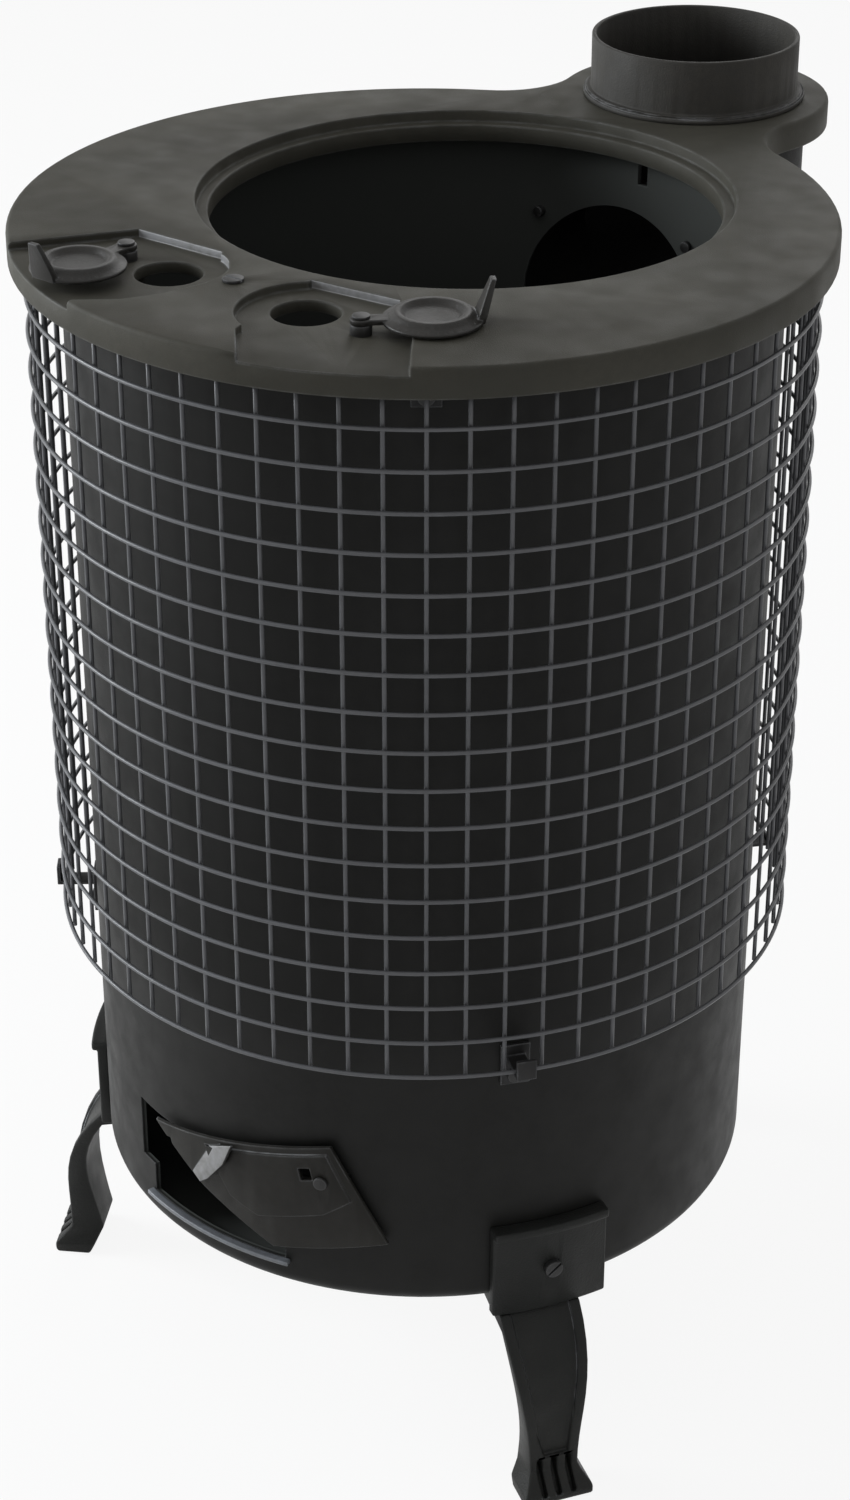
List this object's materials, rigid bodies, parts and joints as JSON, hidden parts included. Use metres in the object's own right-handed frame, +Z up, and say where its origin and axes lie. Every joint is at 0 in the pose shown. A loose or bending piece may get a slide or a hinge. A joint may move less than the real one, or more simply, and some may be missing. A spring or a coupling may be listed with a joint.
{
  "type": "wood stove",
  "caption": "Round free-standing sheet-steel stove on cast legs with pot opening, rear flue spigot, wire guard and draught shutter.",
  "frame": {"origin": "middle of the overall footprint, on the floor", "axes": "+Z up, -Y the front with the draught shutter, +Y the flue, +X the stove's right as seen from the front"},
  "size_m": [0.4, 0.5119, 0.668],
  "materials": {
    "cast_plate": "matt, cast, warm dark grey",
    "drum_steel": "matt stove black on sheet steel",
    "elbow_iron": "matt black",
    "cover_iron": "matt, edges rubbed bright",
    "fastener": "dull dark steel",
    "shutter_steel": "satin stove black, edges rubbed",
    "worn_steel": "rubbed bright",
    "guard_wire": "satin black wire",
    "leg_iron": "matt black, slightly rough",
    "grate_iron": "matt black, rough"
  },
  "bodies": {
    "stove_body": {"top_plate": "cast_plate", "body_drum": "drum_steel", "drum_ash_ring": "drum_steel", "drum_pan": "drum_steel", "flue_spigot": "cast_plate", "flue_downpipe": "elbow_iron", "flue_elbow": "elbow_iron", "elbow_rivets": "fastener", "pin_left": "fastener", "pin_right": "fastener", "land_screw": "fastener", "ash_sill_lip": "worn_steel", "guard_hoops": "guard_wire", "guard_uprights": "guard_wire", "guard_brackets": "drum_steel", "guard_hooks": "drum_steel", "guard_rivets": "fastener", "leg_bracket_right": "leg_iron", "leg_bracket_left": "leg_iron", "leg_bracket_rear": "leg_iron", "leg_right": "leg_iron", "leg_left": "leg_iron", "leg_rear": "leg_iron", "leg_bolts": "fastener", "leg_nuts": "fastener", "fire_grate": "grate_iron", "grate_lugs": "drum_steel"},
    "cover_left": {"cover_left": "cover_iron"},
    "cover_right": {"cover_right": "cover_iron"},
    "shutter_carrier": {"shutter_rivet": "fastener", "shutter_keeper": "fastener"},
    "ash_shutter": {"ash_shutter": "shutter_steel"}
  },
  "joints": [
    {"name": "cover_left_swing", "type": "hinge", "parent": "stove_body", "child": "cover_left", "pos_m": [-0.0765, -0.184, 0.638], "axis": [0, 0, 1], "range_deg": [0, 87.4]},
    {"name": "cover_right_swing", "type": "hinge", "parent": "stove_body", "child": "cover_right", "pos_m": [0.0685, -0.1925, 0.638], "axis": [0, 0, 1], "range_deg": [0, 129]},
    {"name": "shutter_slide", "type": "hinge", "parent": "stove_body", "child": "shutter_carrier", "pos_m": [0, -0.056, 0.187], "axis": [0, 0, 1], "range_deg": [-9, 3.5]},
    {"name": "shutter_tilt", "type": "hinge", "parent": "shutter_carrier", "child": "ash_shutter", "pos_m": [0.06205, -0.22284, 0.187], "axis": [0.3486, -0.9373, 0], "range_deg": [-13.5, 0]}
  ]
}
